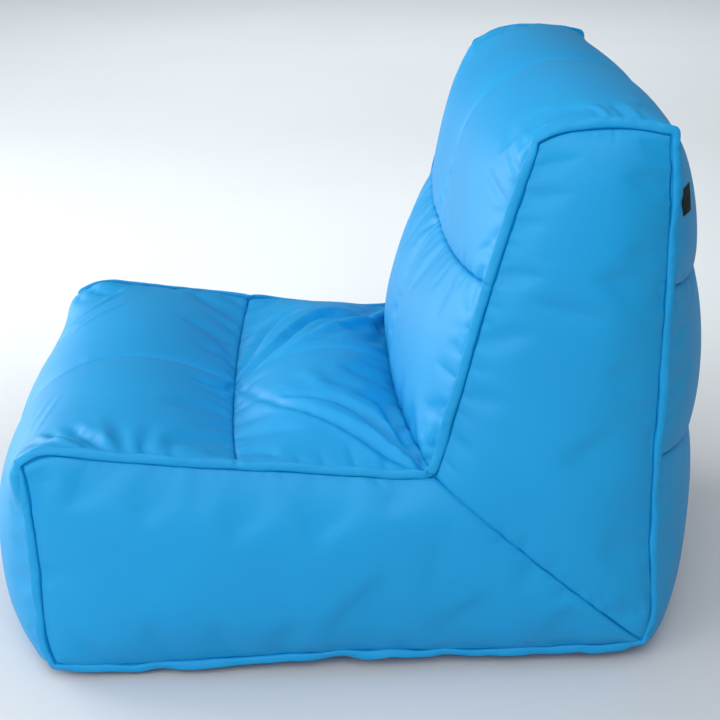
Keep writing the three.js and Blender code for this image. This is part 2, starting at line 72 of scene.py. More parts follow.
# Outline of each stretch, (y, z) in millimetres at the rim and down the middle, as in the CAD model.
STRETCHES = {
    "front": dict(
        steps=6, powers=(BASE_POWER, CROWN_POWER),
        rim=[(-368, 26), (-378, 80), (-379, 190), (-384, 290), (-390, 344)],
        middle=[(-437, 1), (-462, 45), (-468, 120), (-462, 205), (-428, 293)]),
    "seat_front": dict(
        steps=6,
        rim=[(-390, 344), (-352, 359), (-290, 352), (-166, 338), (-91, 331)],
        middle=[(-428, 293), (-386, 329), (-330, 352), (-275, 360), (-224, 355), (-161, 335), (-106, 309)]),
    "seat_rear": dict(
        steps=5,
        rim=[(-91, 331), (-4, 324), (124, 311), (186, 310)],
        middle=[(-106, 309), (-57, 338), (0, 360), (56, 368), (110, 355), (148, 335)]),
    "back_lower": dict(
        steps=7,
        rim=[(186, 310), (209, 389), (243, 523), (261, 592)],
        middle=[(148, 335), (157, 400), (177, 481), (203, 540), (226, 574)]),
    "back_upper": dict(
        steps=6,
        rim=[(261, 592), (294, 705), (318, 788)],
        middle=[(226, 574), (241, 626), (252, 680), (268, 735), (300, 778)]),
    "top": dict(
        steps=6,
        rim=[(318, 788), (360, 803), (430, 806), (493, 797)],
        middle=[(300, 778), (341, 808), (395, 824), (455, 818), (508, 788)]),
    "rear_upper": dict(
        steps=5,
        rim=[(493, 797), (497, 705), (498, 583)],
        middle=[(508, 788), (545, 735), (573, 655), (589, 555)]),
    "rear_middle": dict(
        steps=4,
        rim=[(498, 583), (497, 440), (496, 331)],
        middle=[(589, 555), (602, 450), (604, 370), (601, 300)]),
    "rear_lower": dict(
        steps=4, powers=(CROWN_POWER, BASE_POWER),
        rim=[(496, 331), (498, 200), (505, 90), (497, 34)],
        middle=[(601, 300), (603, 220), (596, 110), (581, 30), (560, 1)]),
    "base": dict(
        steps=11, powers=(BASE_POWER, BASE_POWER),
        rim=[(497, 34), (280, 29), (80, 33), (-90, 28), (-300, 20), (-368, 26)],
        middle=[(560, 1), (80, 1), (-437, 1)]),
}

# Panels of the strip: the stretches each spans, how far its middle stands above its seams, the most that
# it may swell in the simulation, and the height of its shoulder beside the flange.
STRIP_PANELS = {
    "seat_front_panel": (("front", "seat_front"), PUFF, 5 * MM, 4.5 * MM),
    "seat_rear_panel": (("seat_rear",), PUFF, 6 * MM, 4.5 * MM),
    "back_lower_panel": (("back_lower",), PUFF, 5 * MM, 4.5 * MM),
    "back_upper_panel": (("back_upper", "top", "rear_upper"), PUFF, 4 * MM, 4 * MM),
    "rear_middle_panel": (("rear_middle",), PUFF, 3 * MM, 3 * MM),
    "rear_lower_panel": (("rear_lower",), PUFF, 3 * MM, 3 * MM),
    "base_panel": (("base",), 0, 0, 0),
}
SIDE_PANELS = ("side_seat_panel", "side_back_panel")
SIDES = {"left": 1, "right": -1}

low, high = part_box("cover_zip_tape_left")
Y_SHIFT = (low[1] + high[1]) / 2 - COVER_ZIP_Y


# ---- Helpers ----
def cubic(a, b, c, d, t):
    """A smooth curve's point t of the way from b to c, where a and d are the points beside them."""
    return 0.5 * (2 * b + (c - a) * t + (2 * a - 5 * b + 4 * c - d) * t**2 + (3 * b - a - 3 * c + d) * t**3)


def curve(points, count):
    """A smooth curve through points, with `count` steps from each to the next."""
    ghost = np.vstack([points[:1], points, points[-1:]])
    t = np.linspace(0, 1, count, endpoint=False)[:, None]
    spans = [cubic(*four, t) for four in zip(ghost, ghost[1:], ghost[2:], ghost[3:])]
    return np.vstack([*spans, points[-1:]])


def outline(points, steps):
    """steps + 1 points at even distances along a smooth curve through (y, z) points in millimetres."""
    return evenly(curve(np.array(points, float) * MM + [Y_SHIFT, 0], 60), steps)


def distance_along(line):
    return np.r_[0, np.cumsum(np.linalg.norm(np.diff(line, axis=0), axis=1))]


def evenly(line, steps):
    """The same line again, as steps + 1 points at even distances."""
    along = distance_along(line)
    at = np.linspace(0, along[-1], steps + 1)
    return np.stack([np.interp(at, along, line[:, k]) for k in range(line.shape[1])], axis=1)


def smooth_noise(u, v, seed):
    """Noise from -1 to 1 with about one bump in each unit of u and v."""
    lattice = np.random.default_rng(seed).uniform(-1, 1, (64, 64))
    iu, iv = np.floor(u).astype(int), np.floor(v).astype(int)
    fu, fv = u - iu, v - iv
    fu, fv = fu * fu * (3 - 2 * fu), fv * fv * (3 - 2 * fv)

    def corner(a, b):
        return lattice[(iu + a) % 64, (iv + b) % 64]

    near = corner(0, 0) * (1 - fu) + corner(1, 0) * fu
    far = corner(0, 1) * (1 - fu) + corner(1, 1) * fu
    return near * (1 - fv) + far * fv


def unit(vectors):
    return vectors / np.maximum(np.linalg.norm(vectors, axis=-1, keepdims=True), 1e-12)


def grid_normals(grid):
    """Unit normals of a grid of points, along the cross product of its first and second directions."""
    return unit(np.cross(np.gradient(grid, axis=0), np.gradient(grid, axis=1)))


def distances(grid, axis):
    """How far each point of a grid is along an axis, in metres, and the whole length of its line."""
    steps = np.linalg.norm(np.diff(grid, axis=axis), axis=2)
    pad = [(0, 0), (0, 0)]
    pad[axis] = (1, 0)
    along = np.pad(np.cumsum(steps, axis=axis), pad)
    whole = along[-1:, :] if axis == 0 else along[:, -1:]
    return along, np.broadcast_to(whole, along.shape)


def upsample(grid, axis, factor):
    """A finer grid along one axis, on the smooth curve through the points."""
    g = np.moveaxis(grid, axis, 0)
    ghost = np.concatenate([2 * g[:1] - g[1:2], g, 2 * g[-1:] - g[-2:-1]])
    a, b, c, d = ghost[:-3], ghost[1:-2], ghost[2:-1], ghost[3:]
    rows = [cubic(a, b, c, d, t) for t in np.arange(factor) / factor]
    fine = np.stack(rows, axis=1).reshape(-1, *g.shape[1:])
    return np.moveaxis(np.concatenate([fine, g[-1:]]), 0, axis)


def kept_lines(grid, axis):
    """Which lines of a grid refined along an axis are kept: all of them near its ends, and some between."""
    line = grid.mean(axis=1 - axis)
    length = np.linalg.norm(np.diff(line, axis=0), axis=1).sum()
    count = (grid.shape[axis] - 1) * REFINE + 1
    at = np.linspace(0, length, count)
    return np.flatnonzero((np.minimum(at, length - at) < FINE_EDGE) | (np.arange(count) % KEEP_EVERY == 0))


def refine(grid, like=None):
    """A finer grid, finest along its borders. With `like`, the lines are those kept for that grid."""
    rows, columns = (kept_lines(grid if like is None else like, axis) for axis in (0, 1))
    return upsample(upsample(grid, 0, REFINE)[rows], 1, REFINE)[:, columns]


def quads(rows, columns):
    """Faces of a grid whose points are numbered row by row."""
    i = np.arange(rows * columns).reshape(rows, columns)
    return np.stack([i[:-1, :-1], i[1:, :-1], i[1:, 1:], i[:-1, 1:]], axis=-1).reshape(-1, 4)


def scene_object(name, data):
    piece = bpy.data.objects.new(name, data)
    bpy.context.scene.collection.objects.link(piece)
    return piece


def mesh_object(name, points, faces, material):
    points = np.asarray(points, float).reshape(-1, 3).tolist()
    mesh = bpy.data.meshes.new(name)
    mesh.from_pydata(points, [], [list(map(int, face)) for face in faces])
    mesh.polygons.foreach_set("use_smooth", [True] * len(mesh.polygons))
    mesh.materials.append(material)
    mesh.update()
    return scene_object(name, mesh)


def stand_in(piece, node):
    """Puts a piece on the chair's body in place of a CAD node."""
    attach(piece, "chair")
    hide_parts(node)


def face_outwards(piece):
    work = bmesh.new()
    work.from_mesh(piece.data)
    bmesh.ops.recalc_face_normals(work, faces=work.faces)
    work.to_mesh(piece.data)
    work.free()


# ---- The cover's surface, left half ----
def rises(distance, reach):
    return 1 - np.exp(-distance / reach)


def strip_grid(names, puff):
    """Points of a strip panel: along it, then from the middle to the rim."""
    rims, middles, powers = [], [], []
    for name in names:
        stretch = STRETCHES[name]
        steps = stretch["steps"] * FINE
        first = 1 if rims else 0
        rims.append(outline(stretch["rim"], steps)[first:])
        middles.append(outline(stretch["middle"], steps)[first:])
        powers.append(np.linspace(*stretch.get("powers", (CROWN_POWER, CROWN_POWER)), steps + 1)[first:])
    rim = np.vstack(rims)[:, None]
    middle = np.vstack(middles)[:, None]
    power = np.concatenate(powers)[:, None]
    across = np.linspace(0, 1, ACROSS + 1)[None]
    grid = np.zeros((len(rim), ACROSS + 1, 3))
    grid[..., 0] = RIM_HALF * across
    grid[..., 1] = middle[..., 0] + (rim[..., 0] - middle[..., 0]) * across**CROWN_POWER
    grid[..., 2] = middle[..., 1] + (rim[..., 1] - middle[..., 1]) * across**power
    along, length = distances(grid, 0)
    ends = rises(along, 30 * MM) * rises(length - along, 30 * MM)
    sides = rises(across * RIM_HALF, 40 * MM) * rises((1 - across) * RIM_HALF, 30 * MM)
    grid -= grid_normals(grid) * (puff * ends * sides)[..., None]
    window = np.hanning(2 * ROUNDING + 3)[1:-1]
    before = 2 * grid[:1] - grid[ROUNDING:0:-1]
    after = 2 * grid[-1:] - grid[-2:-2 - ROUNDING:-1]
    padded = np.concatenate([before, grid, after])
    rounded = sum(w * padded[i:i + len(grid)] for i, w in enumerate(window / window.sum()))
    return grid + (rounded - grid) * (1 - across**4)[..., None]


def rim_line(names):
    lines = [outline(STRETCHES[name]["rim"], STRETCHES[name]["steps"] * FINE) for name in names]
    return np.vstack([lines[0], *[extra[1:] for extra in lines[1:]]])


CROOK = rim_line(["back_lower"])[0]
REAR_CORNER = rim_line(["base"])[0]
MITRE = evenly(np.array([CROOK, REAR_CORNER]), STRETCHES["front"]["steps"] * FINE)


def side_grid(name):
    """Points of a side panel: along it from the front or foot, then across it to the inner edge."""
    if name == "side_seat_panel":
        bottom = rim_line(["base"])[::-1]
        top = rim_line(["seat_front", "seat_rear"])
        start = rim_line(["front"])
        end = MITRE[::-1]
        mitre_at_end = True
    else:
        bottom = rim_line(["rear_upper", "rear_middle", "rear_lower"])[::-1]
        top = rim_line(["back_lower", "back_upper"])
        start = MITRE[::-1]
        end = rim_line(["top"])[::-1]
        mitre_at_end = False
    a = np.linspace(0, 1, len(bottom))[:, None]
    b = np.linspace(0, 1, len(start))[None]
    flat = sum(
        weight[..., None] * points
        for weight, points in [
            (1 - b + 0 * a, bottom[:, None]), (b + 0 * a, top[:, None]),
            (1 - a + 0 * b, start[None]), (a + 0 * b, end[None]),
            (-(1 - a) * (1 - b), bottom[0]), (-a * (1 - b), bottom[-1]),
            (-(1 - a) * b, top[0]), (-a * b, top[-1]),
        ]
    )
    grid = np.zeros((len(bottom), len(start), 3))
    grid[..., 1:] = flat
    across, width = distances(grid, 1)
    along, length = distances(grid, 0)
    edge = rises(across, 55 * MM) * rises(width - across, 55 * MM)
    far = rises(along, 70 * MM) if mitre_at_end else rises(length - along, 70 * MM)
    to_mitre = (length - along) if mitre_at_end else along
    peak = rises(width / 2, 55 * MM) ** 2
    seam = MITRE_BULGE + (SIDE_BULGE - MITRE_BULGE) * rises(to_mitre, 60 * MM)
    grid[..., 0] = RIM_HALF + seam * far * edge / peak
    return grid


left_grids = {name: strip_grid(names, puff) for name, (names, puff, _, _) in STRIP_PANELS.items()}
left_grids.update({name: side_grid(name) for name in SIDE_PANELS})
cad_grids = {
    (name, hand): grid * [side, 1, 1] for hand, side in SIDES.items() for name, grid in left_grids.items()
}


def outward(name, side):
    """1 where a grid's own normals point out of the chair, -1 where they point into it."""
    return side if name in SIDE_PANELS else -side


# ---- Cloth simulation: the whole cover under the pressure of its filling ----
SIM_FRAMES = 16
SIM_SLACK = 0.012
SIM_PRESSURE = 3.0
SIDE_SWELL = 4 * MM


def weld(grids):
    """All grids as one closed mesh: its points, its faces, and each grid's point numbers in it."""
    points = np.concatenate([g.reshape(-1, 3) for g in grids.values()])
    _, first, number = np.unique(np.round(points / (20e-6)), axis=0, return_index=True, return_inverse=True)
    number = number.reshape(-1)
    faces, places, start = [], {}, 0
    for (name, hand), grid in grids.items():
        rows, columns = grid.shape[:2]
        places[name, hand] = number[start:start + rows * columns].reshape(rows, columns)
        local = quads(rows, columns)
        if outward(name, SIDES[hand]) < 0:
            local = local[:, ::-1]
        faces.append(places[name, hand].reshape(-1)[local])
        start += rows * columns
    return points[first], np.concatenate(faces), places


def simulate(points, faces, pinned):
    """Where the points come to rest when the cloth is a little larger than its shape and is blown up."""
    plain = bpy.data.materials.new("sim")
    bag = mesh_object("sim_bag", points, faces, plain)
    group = bag.vertex_groups.new(name="pin")
    group.add([int(i) for i in pinned], 1.0, "REPLACE")
    cloth = bag.modifiers.new("Cloth", "CLOTH")
    settings = dict(
        quality=5, mass=0.2, tension_stiffness=25, compression_stiffness=25, shear_stiffness=10,
        bending_stiffness=6, air_damping=2, use_pressure=True, uniform_pressure_force=SIM_PRESSURE,
        shrink_min=-SIM_SLACK, vertex_group_mass="pin", pin_stiffness=1)
    for key, value in settings.items():
        setattr(cloth.settings, key, value)
    cloth.settings.effector_weights.gravity = 0
    cloth.collision_settings.use_collision = False
    cloth.point_cache.frame_end = SIM_FRAMES
    for number in range(1, SIM_FRAMES + 1):
        bpy.context.scene.frame_set(number)
    rested = bag.evaluated_get(bpy.context.evaluated_depsgraph_get()).data
    result = np.zeros(len(points) * 3)
    rested.vertices.foreach_get("co", result)
    bpy.data.objects.remove(bag, do_unlink=True)
    bpy.data.materials.remove(plain)
    bpy.context.scene.frame_set(1)
    return result.reshape(-1, 3)


grids = {key: grid.copy() for key, grid in cad_grids.items()}
cover_points, cover_faces, places = weld(grids)
fixed = set()
for (name, hand), place in places.items():
    fixed.update(place.ravel() if name == "base_panel"
                 else np.concatenate([place[0], place[-1], place[:, 0], place[:, -1]]))
moved = simulate(cover_points, cover_faces, sorted(fixed)) - cover_points
for (name, hand), place in places.items():
    step = moved[place]
    distance = np.linalg.norm(step, axis=2, keepdims=True)
    cap = max(SIDE_SWELL if name in SIDE_PANELS else STRIP_PANELS[name][2], 1e-6)
    grids[name, hand] += step * np.tanh(distance / cap) * cap / np.maximum(distance, 1e-9)


# ---- Folds ----
# Each fold has a path of (a, c) points: a, from 0 to 1 along its panel, and c, from 0 in the middle to 1 at
# the rim. Then come its height and its width in millimetres, each at the path's start and at its end. A
# valley has a height under 0. A path that meets its panel's border keeps its full height there.
FOLDS = {
    ("seat_rear_panel", "left"): [
        ([(.26, .42), (.43, .51), (.58, .57), (.70, .66), (.80, .80), (1, 1)], (-3, -11), (7, 8)),
        ([(.19, .30), (.34, .52), (.50, .66), (.65, .78), (.78, .88), (1, 1)], (-3, -9), (7, 8)),
        ([(.34, .47), (.55, .63), (.68, .74), (.80, .86), (1, 1)], (1, 6), (14, 9)),
        ([(.40, .42), (.60, .50), (.74, .60), (.84, .80), (1, 1)], (1, 7), (16, 9)),
        ([(.78, .48), (.81, .62), (.84, .78), (1, 1)], (-3, -10), (9, 8)),
        ([(.88, .40), (.90, .62), (.94, .84), (1, 1)], (3, 8), (11, 8)),
        ([(.46, .30), (.53, .44), (.57, .52)], (2.5, 2), (14, 10)),
        ([(0, 0), (.14, .20), (.26, .40)], (-4, -1), (6, 9)),
        ([(0, .10), (.16, .34), (.30, .60)], (1, 1), (9, 14)),
    ],
    ("seat_rear_panel", "right"): [
        ([(0, 0), (.14, .08), (.27, .16), (.38, .27), (.48, .38), (.66, .56)], (7, 10), (5, 9)),
        ([(.06, .06), (.18, .26), (.28, .46), (.42, .62)], (-6, -10), (9, 15)),
        ([(.34, .16), (.50, .36), (.62, .42), (.80, .52)], (-5, -10), (9, 13)),
        ([(.36, .10), (.54, .21), (.66, .32), (.80, .50), (.90, .90)], (5, 12), (9, 12)),
        ([(.70, .14), (.84, .30), (.94, .60)], (-4, -8), (14, 14)),
    ],
    ("seat_front_panel", "left"): [
        ([(1, .10), (.95, .17), (.90, .20), (.84, .22)], (-6, -2), (7, 11)),
        ([(1, .20), (.93, .24), (.86, .26)], (3, 1), (6, 10)),
        ([(.55, .70), (.58, .84), (.61, .91), (.64, 1)], (4, 5), (8, 7)),
        ([(.62, .72), (.65, .84), (.70, .96)], (-8, -5), (10, 9)),
        ([(.68, .98), (.69, .86), (.68, .66)], (3, 1), (7, 12)),
        ([(.72, 1), (.72, .86), (.72, .72)], (-4, -1), (7, 12)),
        ([(.76, 1), (.77, .85), (.79, .70)], (-3, -1), (7, 12)),
        ([(.83, 1), (.82, .86), (.84, .76)], (-2, -1), (8, 13)),
        ([(.54, .66), (.57, .54), (.60, .38)], (1.2, 1), (5, 6)),
        ([(.52, .58), (.55, .46), (.58, .32)], (1.2, 1), (5, 6)),
    ],
    ("seat_front_panel", "right"): [
        ([(.48, .58), (.56, .64), (.61, .72), (.64, .82)], (2, 3), (6, 7)),
        ([(.53, .42), (.60, .52), (.68, .66)], (1.5, 2), (7, 8)),
        ([(1, .20), (.94, .34), (.88, .46)], (-4, -1), (14, 20)),
        ([(.50, .99), (.57, .86), (.66, .80)], (-5, -1), (7, 12)),
    ],
    ("back_upper_panel", "left"): [
        ([(.26, .66), (.25, .76), (.23, .86), (.21, .96)], (-2, -3), (8, 8)),
        ([(.33, .78), (.30, .88), (.27, .98)], (-1.5, -3), (7, 7)),
        ([(.38, .86), (.35, .93), (.32, 1)], (-1, -2), (6, 6)),
        ([(.08, .78), (.11, .88), (.10, 1)], (-1, -3), (8, 8)),
        ([(.50, .80), (.53, .88), (.54, 1)], (2, 3), (6, 5)),
        ([(.55, .82), (.57, .88), (.58, 1)], (-2, -4), (6, 5)),
        ([(.57, .78), (.60, .87), (.61, 1)], (1, 3), (6, 5)),
    ],
    ("back_upper_panel", "right"): [
        ([(.10, .98), (.16, .88), (.24, .82)], (-5, -1), (9, 15)),
        ([(.50, .99), (.52, .86), (.50, .72)], (-5, -1), (8, 14)),
    ],
    ("back_lower_panel", "left"): [
        ([(0, 1), (.12, .93), (.34, .90)], (-9, -2), (8, 14)),
        ([(0, .96), (.14, .84), (.30, .76)], (5, 1), (8, 14)),
        ([(0, .90), (.16, .74), (.30, .64)], (-6, -1), (9, 16)),
        ([(.52, .04), (.78, .07), (.98, .02)], (1, 5), (14, 8)),
    ],
    ("back_lower_panel", "right"): [
        ([(0, 1), (.14, .88), (.36, .82)], (-14, -2), (8, 13)),
        ([(.99, .03), (.84, .16), (.66, .20)], (-6, -1), (8, 16)),
    ],
}


def from_line(points, line):
    """How far each point is from a line through points, and how far along the line it is, 0 to 1."""
    best = np.full(len(points), np.inf)
    share = np.zeros(len(points))
    lengths = np.linalg.norm(np.diff(line, axis=0), axis=1)
    starts = np.r_[0, np.cumsum(lengths)]
    for i, length in enumerate(lengths):
        step = line[i + 1] - line[i]
        t = np.clip((points - line[i]) @ step / length**2, 0, 1)
        distance = np.linalg.norm(points - line[i] - t[:, None] * step, axis=1)
        nearer = distance < best
        best[nearer] = distance[nearer]
        share[nearer] = (starts[i] + t[nearer] * length) / starts[-1]
    return best, share


FOLD_START = 0.04
FOLD_FADE = 0.3


def fold_lift(grid, folds):
    """How far the folds raise each point of a grid."""
    rows, columns = grid.shape[:2]
    points = grid.reshape(-1, 3)
    lift = np.zeros(len(points))
    for path, heights, widths in folds:
        dense = evenly(np.clip(curve(np.array(path), 12), 0, 1), 30)
        at = np.round(dense * [rows - 1, columns - 1]).astype(int)
        line = evenly(grid[at[:, 0], at[:, 1]], 24)
        distance, share = from_line(points, line)
        height = np.interp(share, [0, 1], heights) * MM
        width = np.interp(share, [0, 1], widths) * MM
        fade = 1
        for (a, c), inside in ((path[0], share), (path[-1], 1 - share)):
            if 0 < a < 1 and 0 < c < 1:
                fade = fade * np.clip((inside + FOLD_START) / FOLD_FADE, 0, 1)
        beside = np.exp(-((distance - 1.8 * width) / width) ** 2)
        lift += height * fade * (np.exp(-((distance / width) ** 2)) - 0.3 * beside)
    return lift.reshape(rows, columns)


# Each panel sinks to its seams. Beside the flange it rolls over a shoulder first.
QUILT = 4.2 * MM
SHOULDER_REACH = 4 * MM
SIDE_LIP = 3.6 * MM
SIDE_REACH = 4.5 * MM
SIDE_ROLL = 3 * MM
SIDE_ROLL_REACH = 26 * MM
SHOULDER_WIDTH = 45 * MM
CENTRE_REACH = 2.6 * MM
CENTRE_SLOPE = 40 * MM
CROSS_REACH = 3 * MM
MITRE_REACH = 2 * MM
BASE_WAVE = 0.7 * MM
PUCKER = 1.1 * MM
SIDE_PUCKER = 0.5 * MM
SIDE_SLACK = 1.6 * MM
WAVE = 1.8 * MM
EAR = 9 * MM
EAR_REACH = 55 * MM


def puckers(edges, strength, seed):
    """Small wrinkles that start at each seam and die away into the panel, in groups along it."""
    lift = 0
    for i, (distance, beside) in enumerate(edges):
        wrinkle = smooth_noise(beside / (19 * MM), distance / (70 * MM) + 20, seed + i)
        groups = smooth_noise(beside / (90 * MM), 0 * beside, seed + 20 + i)
        group = 0.35 + 0.65 * np.clip(groups + 0.4, 0, 1)
        lift = lift + strength * group * wrinkle * np.exp(-distance / (30 * MM)) * rises(distance, 5 * MM)
    return lift


def finished(name, hand, grid):
    """A panel's grid, finer, with rolled edges, puckers along its seams, soft waves and its folds."""
    grid = refine(grid, cad_grids[name, hand])
    seed = sum(map(ord, name + hand))
    along, length = distances(grid, 0)
    across, width = distances(grid, 1)
    edges = [(along, across), (length - along, across), (across, along), (width - across, along)]
    start, end, first, last = [distance for distance, _ in edges]
    edge = np.minimum.reduce([start, end, first, last])
    if name == "base_panel":
        wave = 1 + smooth_noise(along / (90 * MM), across / (60 * MM), seed)
        lift = BASE_WAVE * wave * rises(edge, 20 * MM)
    elif name in SIDE_PANELS:
        mitre = end if name == "side_seat_panel" else start
        rim = np.minimum.reduce([d for d in (start, end, first, last) if d is not mitre])
        lip = np.clip((rim - 0.6 * MM) / SIDE_REACH, 0, 1)
        lift = SIDE_LIP * lip * lip * (3 - 2 * lip) + SIDE_ROLL * rises(rim, SIDE_ROLL_REACH)
        lift *= rises(mitre, MITRE_REACH)
        lift += puckers(edges, SIDE_PUCKER, seed)
        slack = smooth_noise((along + across) / (75 * MM), (along - across) / (240 * MM) + 9, seed + 40)
        lift += SIDE_SLACK * slack * np.exp(-rim / (110 * MM)) * rises(rim, 25 * MM) * rises(mitre, 40 * MM)
    else:
        centre = 0.8 * rises(first, CENTRE_REACH) + 0.2 * rises(first, CENTRE_SLOPE)
        closed = rises(np.minimum(start, end), CROSS_REACH) * centre * rises(last, SHOULDER_REACH)
        lift = closed * (QUILT + STRIP_PANELS[name][3] * np.exp(-last / SHOULDER_WIDTH))
        lift += puckers(edges, PUCKER, seed)
    if name != "base_panel":
        wave = smooth_noise(along / (170 * MM), across / (150 * MM), seed + 9)
        lift += WAVE * wave * rises(edge, 60 * MM)
    if name == "seat_front_panel":
        corner = grids[name, hand][STRETCHES["front"]["steps"] * FINE, -1]
        away = np.linalg.norm(grid - corner, axis=2) / EAR_REACH
        lift += EAR * np.exp(-(away**2)) * rises(edge, 8 * MM)
    if (name, hand) in FOLDS:
        lift += fold_lift(grid, FOLDS[name, hand]) * rises(edge, 8 * MM)
    return grid + grid_normals(grid) * (outward(name, SIDES[hand]) * lift)[..., None]


SAG = 12 * MM
SAG_PLACE = np.array([-363, 75, 318]) * MM + [0, Y_SHIFT, 0]
SAG_REACH = np.array([190, 170, 150]) * MM


def sagged(points):
    """The right-hand rim sinks a little where the seat meets the back, as its beads settle."""
    share = np.exp(-(((points - SAG_PLACE) / SAG_REACH) ** 2).sum(axis=-1))
    return points - share[..., None] * [0, 0, SAG]


final_grids = {(name, hand): sagged(finished(name, hand, grid)) for (name, hand), grid in grids.items()}


SLOT_HALF = 7.2 * MM


def zip_opening(grid):
    """The base panel's grid, raised beside the zip and drawn back from the zip's chain."""
    x = np.abs(grid[..., 0])
    side = np.sign(grid[..., 0].sum())
    grid[..., 2] += ZIP_LIFT * np.clip(1 - x / RECESS_HALF, 0, 1)
    low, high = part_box("cover_zip_coil_left")
    middle, half = (low[1] + high[1]) / 2, (high[1] - low[1]) / 2 + 4 * MM
    opened = np.clip((half - np.abs(grid[..., 1] - middle)) / (3 * MM), 0, 1)
    grid[..., 0] = side * (x + SLOT_HALF * opened * np.clip(1 - x / RECESS_HALF, 0, 1))
    return grid


for hand in SIDES:
    final_grids["base_panel", hand] = zip_opening(final_grids["base_panel", hand])
for grid in final_grids.values():
    grid[..., 2] = np.maximum(grid[..., 2], 0)


# ---- Materials ----
class Nodes:
    """A material's node tree, with short calls to add and link nodes."""

    def __init__(self, name):
        self.material = bpy.data.materials.new(name)
        self.material.use_nodes = True
        self.tree = self.material.node_tree
        self.shader = self.tree.nodes["Principled BSDF"]
        self.position = self.add("ShaderNodeTexCoord").outputs["Object"]

    def add(self, kind, **values):
        node = self.tree.nodes.new(kind)
        for key, value in values.items():
            if key in node.inputs:
                self.give(node.inputs[key], value)
            else:
                setattr(node, key, value)
        return node

    def give(self, socket, value):
        if isinstance(value, bpy.types.NodeSocket):
            self.tree.links.new(value, socket)
        else:
            socket.default_value = value

    def set(self, **values):
        for key, value in values.items():
            self.give(self.shader.inputs[key.replace("_", " ")], value)

    def noise(self, scale, detail=3.0, rough=0.5):
        node = self.add("ShaderNodeTexNoise", Scale=scale, Detail=detail, Roughness=rough)
        self.give(node.inputs["Vector"], self.position)
        return node.outputs["Fac"]

    def cells(self, scale, feature="F1"):
        node = self.add("ShaderNodeTexVoronoi", feature=feature, Scale=scale)
        self.give(node.inputs["Vector"], self.position)
        return node.outputs["Distance"]

    def span(self, value, low, high, start=0.0, end=1.0):
        node = self.add("ShaderNodeMapRange")
        self.give(node.inputs["Value"], value)
        for key, number in zip(("From Min", "From Max", "To Min", "To Max"), (start, end, low, high)):
            node.inputs[key].default_value = number
        return node.outputs["Result"]

    def blend(self, factor, first, second):
        node = self.add("ShaderNodeMix", data_type="RGBA")
        self.give(node.inputs[0], factor)
        self.give(node.inputs[6], first)
        self.give(node.inputs[7], second)
        return node.outputs[2]

    def add_up(self, first, second):
        node = self.add("ShaderNodeMath", operation="ADD")
        self.give(node.inputs[0], first)
        self.give(node.inputs[1], second)
        return node.outputs[0]

    def bump(self, height, strength, distance):
        node = self.add("ShaderNodeBump", Strength=strength, Distance=distance)
        self.give(node.inputs["Height"], height)
        self.set(Normal=node.outputs["Normal"])


def coated_fabric(name, light, deep, roughness):
    """Coated upholstery fabric: a fine pebbled skin with soft, broad highlights."""
    n = Nodes(name)
    patches = n.span(n.noise(5.0, 3), 0.0, 1.0, 0.35, 0.65)
    n.set(Base_Color=n.blend(patches, light, deep))
    n.set(Roughness=n.span(n.noise(240.0, 2), roughness - 0.04, roughness + 0.05))
    pebbles = n.span(n.cells(900.0), 0.0, 1.0, 0.0, 0.8)
    grain = n.add_up(pebbles, n.span(n.noise(1600.0, 2), 0.0, 0.4))
    n.bump(grain, 0.25, 0.15 * MM)
    n.set(Specular_IOR_Level=0.36)
    return n.material


def woven(name, light, deep, pitch):
    """Plain weave: two crossed sets of threads."""
    n = Nodes(name)
    heights = []
    for axis in ("X", "Y"):
        wave = n.add("ShaderNodeTexWave", wave_type="BANDS", bands_direction=axis, Scale=1 / pitch / 6.28)
        n.give(wave.inputs["Vector"], n.position)
        heights.append(wave.outputs["Fac"])
    weave = n.add_up(*heights)
    # The colour is darker where the threads dip, following the bump: painted shade in the weave's hollows.
    n.set(Base_Color=n.blend(n.span(weave, 0, 1, 0.3, 1.7), deep, light))
    n.set(Roughness=n.span(n.noise(60.0), 0.75, 0.9), Specular_IOR_Level=0.25)
    n.bump(weave, 0.4, 0.1 * MM)
    return n.material


def cast_metal(name, light, deep):
    """Polished zinc with fine scratches."""
    n = Nodes(name)
    n.set(Base_Color=n.blend(n.noise(40.0), light, deep), Metallic=1.0)
    n.set(Roughness=n.span(n.noise(900.0, 4), 0.16, 0.34))
    n.bump(n.noise(700.0, 4), 0.1, 0.05 * MM)
    return n.material


def coil_plastic(name, light, deep):
    """Moulded polyester coil."""
    n = Nodes(name)
    n.set(Base_Color=n.blend(n.noise(80.0), light, deep))
    n.set(Roughness=n.span(n.noise(300.0), 0.35, 0.5))
    n.bump(n.noise(900.0), 0.15, 0.1 * MM)
    return n.material


def bead_foam(name):
    """Expanded polystyrene beads, 3 to 5 mm across."""
    n = Nodes(name)
    beads = n.cells(230.0)
    # The colour darkens from each bead's middle towards the gaps between beads: painted shade.
    n.set(Base_Color=n.blend(n.span(beads, 0, 1, 0.2, 0.7), (0.95, 0.95, 0.94, 1), (0.7, 0.71, 0.72, 1)))
    n.set(Roughness=n.span(n.noise(100.0), 0.6, 0.8))
    n.bump(n.span(beads, 1, 0), 0.8, 1.5 * MM)
    return n.material


